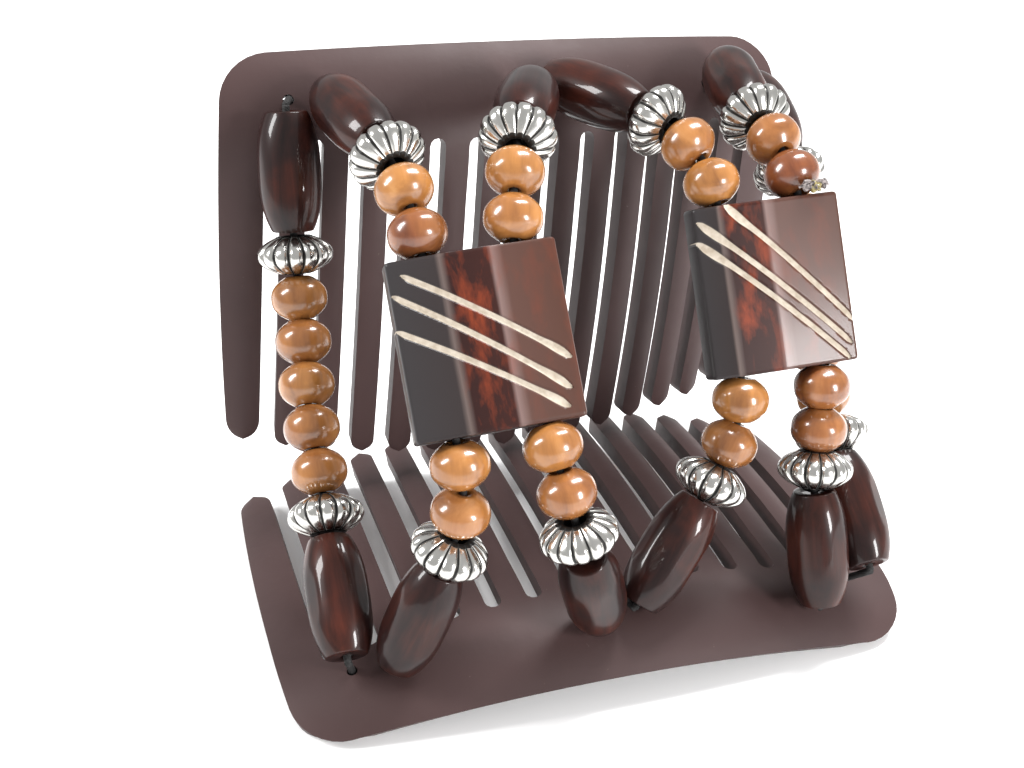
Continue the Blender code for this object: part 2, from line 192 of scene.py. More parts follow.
# Its lumps, as (across, out, radius) in mm; the glued one is counted from 0.
KNOT_LUMPS = ((-0.9, 0.0, 0.75), (0.3, -0.4, 0.9), (1.5, 0.1, 0.8))
GLUED_LUMP = 1
DENT_DEPTH, DENTS_ACROSS, DENTS_UP = 0.22, 5200, 4300
KNOT_STRANDS = 7
STRAND_REACH = 2.4
STRAND_BEND = Vector((0, -0.3, 0.5)) * MM
STRAND_RADIUS = 0.16 * MM

# Where the photo was taken from. A scratch fit to the combs' outlines and slots in it gave these values,
# and the combs' curves and places and the slider beads' places started from the same fit.
CAMERA_PLACE = Vector((-73.74, -218.35, 171.5)) * MM
CAMERA_RIGHT = Vector((0.95885, -0.28363, 0.01234))
CAMERA_UP = Vector((0.13566, 0.49594, 0.85770))
CAMERA_LENS = 61.47

AMBIENT = 0.62
FLOOR_GLOW = 0.13
FLOOR_SIZE = 6
LIGHT_TARGET = Vector((0, 0, 0.04))
# Each softbox as (place, width, height, power).
SOFTBOXES = {
    "softbox_left": (Vector((-0.38, 0.04, 0.30)), 0.10, 0.22, 2.2),
    "softbox_right": (Vector((0.20, 0.08, 0.46)), 0.10, 0.26, 3.2),
    "softbox_front": (Vector((0.25, -0.38, 0.16)), 0.08, 0.16, 2.2),
}

BODY_OF_WEB = "bead_web"


# ---- scene helpers ----


def add_object(name, mesh, finish, slot, body, *replaced):
    obj = bpy.data.objects.new(name, mesh)
    bpy.context.scene.collection.objects.link(obj)
    if finish and not mesh.materials:
        mesh.materials.append(finish)
    if replaced:
        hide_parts(*replaced)
    if body:
        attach(obj, body)
    return obj


def new_mesh(name, bm):
    bmesh.ops.recalc_face_normals(bm, faces=bm.faces)
    mesh = bpy.data.meshes.new(name)
    bm.to_mesh(mesh)
    bm.free()
    mesh.shade_smooth()
    return mesh


def cut_with(obj, cylinders, name):
    """Cuts round bores through obj; each is (middle, direction, radius, length)."""
    bm = bmesh.new()
    for middle, direction, radius, length in cylinders:
        turned = Vector((0, 0, 1)).rotation_difference(direction).to_matrix().to_4x4()
        bmesh.ops.create_cone(bm, cap_ends=True, segments=32, radius1=radius, radius2=radius,
                              depth=length, matrix=Matrix.Translation(middle) @ turned)
    cutter = bpy.data.objects.new(name, new_mesh(name, bm))
    bpy.context.scene.collection.objects.link(cutter)
    cut = obj.modifiers.new("bores", "BOOLEAN")
    cut.object = cutter
    cut.solver = "EXACT"
    graph = bpy.context.evaluated_depsgraph_get()
    made = bpy.data.meshes.new_from_object(obj.evaluated_get(graph))
    obj.modifiers.clear()
    obj.data = made
    bpy.data.objects.remove(cutter)


# ---- materials ----


class Finish:
    """A material with short ways to add and join its nodes."""

    def __init__(self, name):
        self.made = bpy.data.materials.new(name)
        self.made.use_nodes = True
        self.tree = self.made.node_tree
        self.shader = self.tree.nodes["Principled BSDF"]
        coordinates = self.add("ShaderNodeTexCoord")
        self.place = coordinates.outputs["Object"]

    def add(self, kind, **settings):
        node = self.tree.nodes.new(kind)
        for key, value in settings.items():
            setattr(node, key, value)
        return node

    def feed(self, target, value):
        if isinstance(value, bpy.types.NodeSocket):
            self.tree.links.new(value, target)
        else:
            target.default_value = value

    def set(self, **values):
        for key, value in values.items():
            self.feed(self.shader.inputs[key.replace("_", " ")], value)

    def stretched(self, scale):
        node = self.add("ShaderNodeMapping")
        self.feed(node.inputs["Vector"], self.place)
        node.inputs["Scale"].default_value = scale
        return node.outputs[0]

    def noise(self, scale, detail=3.0, rough=0.5, vector=None, distortion=0.0):
        node = self.add("ShaderNodeTexNoise", noise_dimensions="4D")
        self.feed(node.inputs["Vector"], vector or self.place)
        node.inputs["Scale"].default_value = scale
        node.inputs["Detail"].default_value = detail
        node.inputs["Roughness"].default_value = rough
        node.inputs["Distortion"].default_value = distortion
        self.feed(node.inputs["W"], self.seed())
        return node.outputs[0]

    def seed(self):
        node = self.add("ShaderNodeAttribute", attribute_type="OBJECT", attribute_name="seed")
        return node.outputs["Fac"]

    def tone(self):
        node = self.add("ShaderNodeAttribute", attribute_type="OBJECT", attribute_name="tone")
        return node.outputs["Fac"]

    def painted(self, name):
        node = self.add("ShaderNodeAttribute", attribute_name=name)
        return node.outputs["Fac"]

    def ramp(self, value, *stops):
        node = self.add("ShaderNodeValToRGB")
        self.feed(node.inputs[0], value)
        elements = node.color_ramp.elements
        while len(elements) < len(stops):
            elements.new(0.5)
        for element, (place, colour) in zip(elements, stops):
            element.position = place
            element.color = (*colour, 1) if isinstance(colour, tuple) else (colour, colour, colour, 1)
        return node.outputs[0]

    def mix(self, share, first, second):
        node = self.add("ShaderNodeMix", data_type="RGBA")
        self.feed(node.inputs[0], share)
        for socket, value in zip((node.inputs[6], node.inputs[7]), (first, second)):
            self.feed(socket, (*value, 1) if isinstance(value, tuple) else value)
        return node.outputs[2]

    def maths(self, operation, *values):
        node = self.add("ShaderNodeMath", operation=operation)
        for socket, value in zip(node.inputs, values):
            self.feed(socket, value)
        return node.outputs[0]

    def bump(self, height, distance, strength=1.0):
        node = self.add("ShaderNodeBump")
        self.feed(node.inputs["Height"], height)
        node.inputs["Distance"].default_value = distance
        node.inputs["Strength"].default_value = strength
        self.feed(self.shader.inputs["Normal"], node.outputs[0])


def comb_plastic():
    m = Finish("comb_plastic")
    broad = m.noise(40, 4)
    colour = m.ramp(broad, (0.3, (0.048, 0.027, 0.026)), (0.7, (0.063, 0.037, 0.036)))
    specks = m.ramp(m.noise(1500, 2, 0.6), (0.735, 0.0), (0.765, 1.0))
    m.set(Base_Color=m.mix(m.maths("MULTIPLY", specks, 0.35), colour, (0.2, 0.15, 0.13)))
    m.set(Roughness=m.maths("MULTIPLY_ADD", m.noise(300, 3), 0.14, 0.42))
    m.set(IOR=1.45, Specular_IOR_Level=0.3)
    m.bump(m.noise(900, 3), 0.00004, 0.5)
    return m.made


def light_wood():
    m = Finish("light_wood")
    grain = m.noise(260, 5, 0.6, m.stretched((1, 1, 0.16)), 0.6)
    pale = m.ramp(grain, (0.3, (0.18, 0.068, 0.018)), (0.55, (0.36, 0.152, 0.040)),
                  (0.75, (0.47, 0.23, 0.08)))
    red = m.ramp(grain, (0.3, (0.07, 0.017, 0.007)), (0.55, (0.17, 0.048, 0.016)),
                 (0.75, (0.26, 0.085, 0.028)))
    blotch = m.ramp(m.noise(140, 3), (0.35, 0.0), (0.7, 1.0))
    share = m.maths("ADD", m.tone(), m.maths("MULTIPLY_ADD", blotch, 0.5, -0.25))
    m.set(Base_Color=m.mix(share, pale, red), Roughness=0.24, Coat_Weight=0.55, Coat_Roughness=0.1)
    m.bump(grain, 0.00003, 0.35)
    return m.made


def dark_wood():
    m = Finish("dark_wood")
    streaks = m.noise(330, 5, 0.65, m.stretched((1, 1, 0.12)), 0.8)
    patch = m.ramp(m.noise(120, 3), (0.42, 0.0), (0.66, 1.0))
    dark = m.ramp(streaks, (0.35, (0.008, 0.004, 0.004)), (0.7, (0.024, 0.009, 0.008)))
    red = m.ramp(streaks, (0.35, (0.018, 0.005, 0.003)), (0.7, (0.085, 0.018, 0.009)))
    m.set(Base_Color=m.mix(m.maths("MULTIPLY", patch, m.tone()), dark, red))
    m.set(Roughness=0.35, Specular_IOR_Level=0.12, Coat_Weight=0.35, Coat_Roughness=0.06)
    m.bump(streaks, 0.00003, 0.3)
    return m.made


def antique_silver():
    m = Finish("antique_silver")
    groove = m.painted("groove")
    worn = m.maths("ADD", groove, m.maths("MULTIPLY_ADD", m.noise(700, 3), 0.5, -0.25))
    dirt = m.ramp(worn, (0.22, 0.0), (0.5, 1.0))
    m.set(Base_Color=m.mix(dirt, (0.62, 0.61, 0.58), (0.015, 0.014, 0.013)))
    m.set(Metallic=m.maths("MULTIPLY_ADD", dirt, -0.5, 1.0))
    m.set(Roughness=m.maths("MULTIPLY_ADD", dirt, 0.3, 0.2))
    m.bump(m.noise(600, 4), 0.0001, 0.35)
    return m.made


def horn():
    m = Finish("horn")
    facet = m.painted("facet")
    streaks = m.noise(300, 5, 0.65, m.stretched((1, 1, 0.08)), 0.5)
    shade = m.maths("ADD", facet, m.maths("MULTIPLY_ADD", streaks, 0.05, -0.025))
    # Each facet takes a third of the ramp, with a painted highlight along each ridge at 0.333 and 0.667;
    # the right facet's lighter brown is partly the horn's own colour and partly painted reflected light.
    facet_tones_and_painted_ridge_highlights = m.ramp(shade, (0.0, (0.030, 0.027, 0.028)), (0.30, (0.028, 0.022, 0.022)),
                  (0.333, (0.10, 0.075, 0.068)), (0.38, (0.022, 0.008, 0.007)),
                  (0.64, (0.030, 0.010, 0.008)), (0.667, (0.16, 0.105, 0.096)),
                  (0.72, (0.075, 0.037, 0.029)), (1.0, (0.062, 0.027, 0.019)))
    mottle = m.noise(330, 4, 0.6, m.stretched((1, 1, 0.4)), 0.4)
    middle = m.ramp(facet, (0.32, 0.0), (0.42, 1.0), (0.60, 1.0), (0.70, 0.25))
    red = m.maths("MULTIPLY", m.ramp(mottle, (0.48, 0.0), (0.68, 0.85)), middle)
    tinted = m.mix(red, facet_tones_and_painted_ridge_highlights, (0.19, 0.034, 0.012))
    groove = m.ramp(m.painted("groove"), (0.25, 0.0), (0.5, 1.0))
    cream = m.ramp(m.noise(900, 3), (0.35, (0.38, 0.32, 0.25)), (0.65, (0.52, 0.46, 0.38)))
    m.set(Base_Color=m.mix(groove, tinted, cream))
    m.set(Roughness=m.maths("MULTIPLY_ADD", groove, 0.3, 0.3), Specular_IOR_Level=0.16)
    m.set(Coat_Weight=m.maths("MULTIPLY_ADD", groove, -0.16, 0.16), Coat_Roughness=0.12)
    m.bump(streaks, 0.00003, 0.3)
    return m.made


def elastic_finish():
    m = Finish("elastic")
    weave = m.add("ShaderNodeTexWave", bands_direction="DIAGONAL")
    m.feed(weave.inputs["Vector"], m.place)
    weave.inputs["Scale"].default_value = 1200
    m.set(Base_Color=(0.012, 0.011, 0.011, 1), Roughness=0.75)
    m.bump(weave.outputs[1], 0.00005, 0.6)
    return m.made


def frayed_finish():
    m = Finish("frayed_elastic")
    fibres = m.ramp(m.noise(1800, 3), (0.4, (0.03, 0.022, 0.022)), (0.6, (0.30, 0.26, 0.25)))
    m.set(Base_Color=fibres, Roughness=0.5)
    m.bump(m.noise(2400, 3), 0.0001, 0.6)
    return m.made


def glue_finish():
    m = Finish("glue")
    m.set(Base_Color=m.ramp(m.noise(1500, 2), (0.42, (0.05, 0.04, 0.035)), (0.55, (0.28, 0.23, 0.09))))
    m.set(Roughness=0.2, Coat_Weight=0.5)
    return m.made


def floor_finish():
    """White, with a little light of its own, so that only the shadow under the combs shows."""
    m = Finish("floor_white")
    m.set(Base_Color=(0.9, 0.9, 0.9, 1), Roughness=0.8, Specular_IOR_Level=0.1)
    m.set(Emission_Color=(1, 1, 1, 1), Emission_Strength=FLOOR_GLOW)
    return m.made


# ---- combs ----


def comb_point(u, s, w=0.0):
    """The point at u, s on a comb's outer face, in the comb's own frame, raised by w along its normal."""
    turn = (max(s, ROLL_START) - COMB_LENGTH / 2) / ALONG_RADIUS
    y = ALONG_RADIUS * math.sin(turn)
    z = ALONG_RADIUS * (math.cos(turn) - 1)
    if s < ROLL_START:
        rolled = turn + (s - ROLL_START) / ROLL_RADIUS
        y += ROLL_RADIUS * (math.sin(rolled) - math.sin(turn))
        z += ROLL_RADIUS * (math.cos(rolled) - math.cos(turn))
        turn = rolled
    y += w * math.sin(turn)
    z += w * math.cos(turn)
    across = u / ACROSS_RADIUS
    radius = ACROSS_RADIUS + z
    return Vector((radius * math.sin(across), y, radius * math.cos(across) - ACROSS_RADIUS))


def half_width(s):
    if s < WIDEST_AT:
        return COMB_HALF_WIDTH
    return COMB_HALF_WIDTH - TIP_NARROWING * ((s - WIDEST_AT) / (COMB_LENGTH - WIDEST_AT)) ** 2


def spine_edge(u):
    edge = SPINE_CROWN * (u / COMB_HALF_WIDTH) ** 2
    past = abs(u) - (COMB_HALF_WIDTH - CORNER_RADIUS)
    if past > 0:
        edge += CORNER_RADIUS - math.sqrt(max(CORNER_RADIUS**2 - past**2, 0))
    return edge


def tooth_columns(index):
    """The u of each column of points across a tooth, at its root."""
    last = TOOTH_COUNT - 1
    if 0 < index < last:
        middle = (index - last / 2) * TOOTH_PITCH
        return [middle + TOOTH_WIDTH * part for part in TOOTH_COLUMNS]
    inner = (last / 2 - 1) * TOOTH_PITCH + TOOTH_WIDTH / 2 + (TOOTH_PITCH - TOOTH_WIDTH)
    outer = COMB_HALF_WIDTH - CORNER_RADIUS
    columns = [inner] + [outer + CORNER_RADIUS * math.sin(math.radians(t)) for t in CORNER_ANGLES]
    return columns if index else [-u for u in reversed(columns)]


def dome(u, columns):
    """How far a tooth's outer face drops at u, next to its middle."""
    middle = (columns[0] + columns[-1]) / 2
    across = (u - middle) / (columns[-1] - middle)
    return -TOOTH_DOME * across * across


def tooth_rows(columns):
    """Each row of (u, s, drop) along a tooth below its root, ending in a round tip."""
    wide = len(columns) > len(TOOTH_COLUMNS)
    inner, outer = sorted((columns[0], columns[-1]), key=abs)
    tip = COMB_LENGTH - TIP_CROWN * ((inner + outer) / 2 / COMB_HALF_WIDTH) ** 2
    tip_radius = abs(outer - inner) / 2
    straight = tip - tip_radius - SLOT_ROOT
    rows = [(SLOT_ROOT + straight * k / TOOTH_ROWS, 1.0) for k in range(1, TOOTH_ROWS + 1)]
    for angle in TIP_ANGLES:
        a = math.radians(angle)
        rows.append((tip - tip_radius * (1 - math.sin(a)), math.cos(a)))
    made = []
    for number, (s, narrow) in enumerate(rows):
        edge = math.copysign(half_width(s), outer) if wide else outer
        centre = (inner + edge) / 2
        share = min(1.0, number / DOME_ROWS)
        row = []
        for u in columns:
            spread = inner + (u - inner) * (edge - inner) / (outer - inner)
            row.append((centre + (spread - centre) * narrow, s, dome(u, columns) * share))
        made.append(row)
    return made


def band_columns():
    """The columns across the spine band as (u, root s, tooth index or None in a slot)."""
    columns = []
    teeth = [tooth_columns(i) for i in range(TOOTH_COUNT)]
    slot_radius = (TOOTH_PITCH - TOOTH_WIDTH) / 2
    for index, tooth in enumerate(teeth):
        if index:
            middle = (teeth[index - 1][-1] + tooth[0]) / 2
            for angle in SLOT_ANGLES:
                a = math.radians(angle)
                root = SLOT_ROOT - slot_radius * math.cos(a)
                columns.append((middle + slot_radius * math.sin(a), root, None))
        columns += [(u, SLOT_ROOT, index) for u in tooth]
    return columns, teeth


def comb_side(bm, place, columns, teeth, w):
    """One face of a comb, w above its outer face: its quads in a fixed order, and its spine's vertices."""
    rows = []
    for part in (k / BAND_ROWS for k in range(BAND_ROWS + 1)):
        row = [(u, spine_edge(u) + (root - spine_edge(u)) * part) for u, root, _ in columns]
        rows.append([bm.verts.new(place @ comb_point(u, s, w)) for u, s in row])
    quads = []
    for above, below in zip(rows, rows[1:]):
        quads += [(above[k], above[k + 1], below[k + 1], below[k]) for k in range(len(above) - 1)]
    for index, tooth in enumerate(teeth):
        above = [vert for vert, column in zip(rows[-1], columns) if column[2] == index]
        for row in tooth_rows(tooth):
            raised = [(u, s, w + (drop if w == 0 else 0)) for u, s, drop in row]
            below = [bm.verts.new(place @ comb_point(*at)) for at in raised]
            quads += [(above[k], above[k + 1], below[k + 1], below[k]) for k in range(len(tooth) - 1)]
            above = below
    return quads, rows[0]


def comb_mesh(name, place):
    bm = bmesh.new()
    columns, teeth = band_columns()
    outer, outer_spine = comb_side(bm, place, columns, teeth, 0.0)
    inner, inner_spine = comb_side(bm, place, columns, teeth, -COMB_THICKNESS)
    rim = {}
    for above, below in zip(outer, inner):
        bm.faces.new(above[::-1])
        bm.faces.new(below)
        for k in range(4):
            ends = (above[k], above[(k + 1) % 4])
            if rim.pop(ends[::-1], None) is None:
                rim[ends] = (below[k], below[(k + 1) % 4])
    for (a, b), (c, d) in rim.items():
        bm.faces.new((a, b, d, c))
    weights = bm.edges.layers.float.new("bevel_weight_edge")
    spine = set(outer_spine + inner_spine)
    for edge in bm.edges:
        if len(edge.link_faces) == 2 and edge.calc_face_angle(0) > SHARP_ANGLE:
            on_spine = edge.verts[0] in spine and edge.verts[1] in spine
            edge[weights] = 1.0 if on_spine else EDGE_ROUND / SPINE_ROUND
    return new_mesh(name, bm)


def hole_cylinders(place, mirrored, row):
    """A comb's string holes, left to right, as (point on the outer face, outward direction)."""
    found = []
    for pair in (-1, 0, 1):
        for side in (-1, 1):
            u = pair * HOLE_PAIR_PITCH + side * HOLE_PAIR_GAP / 2
            u = -u if mirrored else u
            point = place @ comb_point(u, row)
            out = (place @ comb_point(u, row, MM) - point).normalized()
            found.append((point, out))
    return found


def add_comb(name, place, mirrored, hole_row, finish):
    obj = add_object(name + "_shell", comb_mesh(name, place), finish, "comb_plastic", None)
    bevel = obj.modifiers.new("rounded", "BEVEL")
    bevel.limit_method = "WEIGHT"
    bevel.width = SPINE_ROUND
    bevel.segments = 4
    bevel.use_clamp_overlap = True
    holes = hole_cylinders(place, mirrored, hole_row)
    cut_with(obj, [(point, out, HOLE_RADIUS, 4 * COMB_THICKNESS) for point, out in holes], "cutter")
    for vert in obj.data.vertices:
        vert.co.z = max(vert.co.z, 0.0)
    obj.data.set_sharp_from_angle(angle=SHARP_ANGLE)
    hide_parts(name)
    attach(obj, name)
    obj["seed"] = COMB_SEEDS[name]
    return holes


def comb_places():
    lower = Matrix.Translation(CENTRE_SHIFT + LOWER_PLACE) @ Matrix.Rotation(LOWER_TILT, 4, "X")
    stood = Matrix.Rotation(math.pi, 4, "Z") @ Matrix.Rotation(-math.pi / 2, 4, "X")
    swung = Matrix.Rotation(UPPER_TURN, 4, "Z") @ Matrix.Rotation(UPPER_LEAN, 4, "X")
    rolled = Matrix.Rotation(UPPER_ROLL, 4, "Y")
    upper = Matrix.Translation(CENTRE_SHIFT + UPPER_PLACE) @ swung @ rolled @ stood
    return lower, upper


# ---- beads ----


def turned_mesh(name, outline, radius_at):
    """A bead about Z. Its outline of (radius, z) closes through the bore, and radius_at shapes it."""
    bm = bmesh.new()
    groove = bm.verts.layers.float.new("groove")
    rings = []
    segments = BEAD_SEGMENTS * (2 if radius_at is pumpkin_radius else 1)
    for k in range(segments):
        angle = 2 * math.pi * k / segments
        ring = []
        for radius, z in outline:
            shaped, mark = radius_at(radius, z, angle)
            vert = bm.verts.new((shaped * math.cos(angle), shaped * math.sin(angle), z))
            vert[groove] = mark
            ring.append(vert)
        rings.append(ring)
    for k, ring in enumerate(rings):
        following = rings[(k + 1) % len(rings)]
        for j in range(len(outline)):
            n = (j + 1) % len(outline)
            bm.faces.new((ring[j], following[j], following[n], ring[n]))
    return new_mesh(name, bm)


def bead_outline(length, radius, end_radius, power, bore, count=28):
    """A closed outline: the bulged side, rounded end rims and the bore."""
    points = []
    for k in range(count):
        t = math.sin((2 * k / (count - 1) - 1) * math.pi / 2)
        points.append((end_radius + (radius - end_radius) * (1 - abs(t) ** power), t * length / 2 * 0.985))
    lip = min(0.25 * MM, (end_radius - bore) / 2)
    top = [(end_radius - lip * 0.4, length / 2 * 0.997), (end_radius - lip, length / 2),
           (bore + lip, length / 2), (bore, length / 2 - lip)]
    bottom = [(r, -z) for r, z in reversed(top)]
    return points + top + bottom


def plain_radius(radius, z, angle):
    return radius, 0.0


def faceted_radius(radius, z, angle):
    """Flats carved along a long bead, shallow and all alike."""
    reach = LONG_RADIUS * CARVED_REACH
    step = 2 * math.pi / CARVED_FLATS
    nearest = angle - step * round(angle / step)
    flat = reach / math.cos(nearest)
    return (min(radius, flat) if radius > CARVED_ABOVE else radius), 0.0


def pumpkin_radius(radius, z, angle):
    """Rounded lobes with sharp grooves between them; the mark is 1 at the bottom of a groove."""
    across = abs(math.sin(angle * PUMPKIN_LOBES / 2))
    lobe = 1 - (1 - across) ** LOBE_POWER
    if radius <= PUMPKIN_PLAIN:
        return radius, 1.0
    share = min(1.0, (radius - PUMPKIN_PLAIN) / PUMPKIN_RISE)
    mark = max(1 - across * GROOVE_SHADE, 0.0)
    if radius < PUMPKIN_END * 1.15:
        mark = max(mark, 0.7)
    return radius - GROOVE_DEPTH * (1 - lobe) * share, mark


def bead_meshes():
    long_outline = bead_outline(LONG_LENGTH, LONG_RADIUS, LONG_END, LONG_FULLNESS, BORE_RADIUS)
    round_outline = bead_outline(ROUND_LENGTH, ROUND_RADIUS, ROUND_END, ROUND_FULLNESS, BORE_RADIUS)
    pumpkin_outline = bead_outline(PUMPKIN_LENGTH, PUMPKIN_RADIUS, PUMPKIN_END, PUMPKIN_FULLNESS,
                                   PUMPKIN_BORE_RADIUS)
    return {
        "long": turned_mesh("long", long_outline, plain_radius),
        "faceted": turned_mesh("faceted", long_outline, faceted_radius),
        "round": turned_mesh("round", round_outline, plain_radius),
        "pumpkin": turned_mesh("pumpkin", pumpkin_outline, pumpkin_radius),
    }


def add_beads(joints, finishes):
    meshes = bead_meshes()
    for joint in joints:
        if not joint["name"].endswith("_spin"):
            continue
        node = joint["name"][: -len("_spin")]
        kind, _, string, number = node.split("_")
        shape = "faceted" if kind == "long" and (int(string), int(number)) in FACETED else kind
        obj = add_object(node + "_look", meshes[shape], finishes[kind], SLOT_OF[kind], None)
        turned = Vector((0, 0, 1)).rotation_difference(Vector(joint["axis"])).to_matrix().to_4x4()
        spin = Matrix.Rotation(random.uniform(0, 2 * math.pi), 4, "Z")
        obj.matrix_world = Matrix.Translation(joint["pos_m"]) @ turned @ spin
        obj["seed"] = random.uniform(0, 50)
        if kind == "round":
            obj["tone"] = ROUND_TONES[int(string)][int(number) - 1]
        else:
            obj["tone"] = random.uniform(0.6, 1)
        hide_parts(node)
        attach(obj, joint["child"])


# ---- slider beads ----


def slider_place(spec):
    lean, roll, turn = (math.radians(angle) for angle in spec["lean_roll_turn"])
    rotation = Matrix.Rotation(turn, 4, "Z") @ Matrix.Rotation(lean, 4, "X") @ Matrix.Rotation(roll, 4, "Y")
    return Matrix.Translation(spec["place"] + CENTRE_SHIFT) @ rotation


def slider_section(spec):
    """The section's outline as (x, y, across), dense along the front, where across runs 0 to 1."""
    width = spec["width"]
    half, deep, edge = width / 2, SLIDER_THICKNESS / 2, SLIDER_EDGE / 2
    left, right = (width * part - half for part in spec["ridges"])
    corners = [(-half, -edge), (left, -deep), (right, -deep), (half, -edge)]
    outline = []
    for k in range(STEPS_ACROSS + 1):
        x = -half + width * k / STEPS_ACROSS
        for (x0, y0), (x1, y1) in zip(corners, corners[1:]):
            if x0 <= x <= x1 + 1e-9:
                y = y0 + (y1 - y0) * (x - x0) / (x1 - x0)
        inset = SLIDER_ROUND - (half - abs(x))
        if inset > 0:
            y += SLIDER_ROUND - math.sqrt(max(SLIDER_ROUND**2 - inset**2, 0))
        outline.append((x, y, k / STEPS_ACROSS))
    for x, y in ((half, edge), (half * 0.5, deep), (-half * 0.5, deep), (-half, edge)):
        outline.append((x, y, 1.0 if x > 0 else 0.0))
    return outline


def facet_share(spec, across):
    """0 to 1 across the front, with each of its three facets taking a third."""
    stops = (0.0, *spec["ridges"], 1.0)
    for number, (low, high) in enumerate(zip(stops, stops[1:])):
        if across <= high:
            return (number + (across - low) / (high - low)) / 3
    return 1.0


def carving(spec, across, down):
    """How deep the grooves are at a place on the front face, from 0 to 1."""
    depth = 0.0
    for (x0, z0), (x1, z1) in spec["grooves"]:
        if not x0 <= across <= x1:
            continue
        t = (across - x0) / (x1 - x0)
        line = z0 + (z1 - z0) * (t - GROOVE_SAG * t * (1 - t))
        slope = (z1 - z0) / (x1 - x0) * SLIDER_LENGTH / spec["width"]
        away = abs(down - line) * SLIDER_LENGTH / math.hypot(1, slope)
        flare = 1 + GROOVE_FLARE * math.exp(-((t - spec["flare"]) / FLARE_LENGTH) ** 2)
        rounded = math.sqrt(max(min(1.0, 25 * t, 25 * (1 - t)), 0.01))
        depth = max(depth, 1 - (2 * away / (GROOVE_WIDTH * flare * rounded)) ** 2)
    return max(depth, 0.0)


def slider_mesh(name, spec):
    bm = bmesh.new()
    groove = bm.verts.layers.float.new("groove")
    facet = bm.verts.layers.float.new("facet")
    section = slider_section(spec)
    steps = STEPS_DOWN
    rings = []
    for j in range(-2, steps + 3):
        z = SLIDER_LENGTH * (min(max(j, 0), steps) / steps - 0.5)
        inset = {-2: 1.0, -1: 0.35, steps + 1: 0.35, steps + 2: 1.0}.get(j, 0.0) * SLIDER_ROUND
        if 0 < j < steps:
            z = (SLIDER_LENGTH - 2 * SLIDER_ROUND) * (j / steps - 0.5)
        elif j in (0, steps):
            z -= math.copysign(SLIDER_ROUND, z)
        elif j in (-1, steps + 1):
            z -= math.copysign(SLIDER_ROUND * 0.25, z)
        ring = []
        for x, y, across in section:
            cut = carving(spec, across, 0.5 - z / SLIDER_LENGTH) if y < 0 else 0.0
            shrink = 1 - inset / (spec["width"] / 2)
            deep = 1 - inset / (SLIDER_THICKNESS / 2)
            vert = bm.verts.new((x * shrink, (y + CARVE_DEPTH * math.sqrt(cut)) * deep, z))
            vert[groove] = cut
            vert[facet] = facet_share(spec, across)
            ring.append(vert)
        rings.append(ring)
    for low, high in zip(rings, rings[1:]):
        for k in range(len(section)):
            n = (k + 1) % len(section)
            bm.faces.new((low[k], low[n], high[n], high[k]))
    bm.faces.new(rings[0][::-1])
    bm.faces.new(rings[-1])
    return new_mesh(name, bm)


def add_slider(name, spec, finish):
    obj = add_object(name + "_look", slider_mesh(name, spec), finish, "horn", None)
    bores = [
        (Vector((side * SLIDER_BORES / 2, 0, 0)), Vector((0, 0, 1)), SLIDER_BORE_RADIUS, 2 * SLIDER_LENGTH)
        for side in (-1, 1)
    ]
    cut_with(obj, bores, "bore_cutter")
    obj.data.set_sharp_from_angle(angle=math.radians(40))
    obj.matrix_world = slider_place(spec)
    obj["seed"] = spec["seed"]
    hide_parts(name)
    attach(obj, BODY_OF_WEB)


# ---- elastic ----


def smooth_line(points, steps=8):
    """A smooth line through the points."""
    padded = [points[0] * 2 - points[1]] + points + [points[-1] * 2 - points[-2]]
    line = []
    for a, b, c, d in zip(padded, padded[1:], padded[2:], padded[3:]):
        for k in range(steps):
            t = k / steps
            line.append((b * 2 + (c - a) * t + (a * 2 - b * 5 + c * 4 - d) * t * t
                         + (b * 3 - a - c * 3 + d) * t**3) / 2)
    return line + [points[-1]]


def tube_mesh(name, points, radius, sides=12):
    line = smooth_line(points)
    bm = bmesh.new()
    rings = []
    normal = (line[1] - line[0]).orthogonal().normalized()
    for k, point in enumerate(line):
        along = (line[min(k + 1, len(line) - 1)] - line[max(k - 1, 0)]).normalized()
        normal = (normal - along * normal.dot(along)).normalized()
        side = along.cross(normal)
        ring = []
        for j in range(sides):
            angle = 2 * math.pi * j / sides
            outward = normal * math.cos(angle) + side * math.sin(angle)
            ring.append(bm.verts.new(point + outward * radius))
        rings.append(ring)
    for low, high in zip(rings, rings[1:]):
        for j in range(sides):
            n = (j + 1) % sides
            bm.faces.new((low[j], low[n], high[n], high[j]))
    bm.faces.new(rings[0][::-1])
    bm.faces.new(rings[-1])
    return new_mesh(name, bm)


def bead_ends(joints, string):
    """The beads of one string from the top, as (upper end, lower end)."""
    lengths = {"long": LONG_LENGTH, "round": ROUND_LENGTH, "pumpkin": PUMPKIN_LENGTH}
    outer_ranks = {"long": (0, 9), "pumpkin": (1, 8)}
    found = {}
    for joint in joints:
        if not joint["name"].endswith("_spin"):
            continue
        kind, _, number, count, _ = joint["name"].split("_")
        if int(number) == string:
            rank = outer_ranks[kind][int(count) - 1] if kind in outer_ranks else 1 + int(count)
            middle, axis = Vector(joint["pos_m"]), Vector(joint["axis"])
            half = axis * lengths[kind] / 2
            found[rank] = (middle + half, middle - half)
    return [found[rank] for rank in sorted(found)]


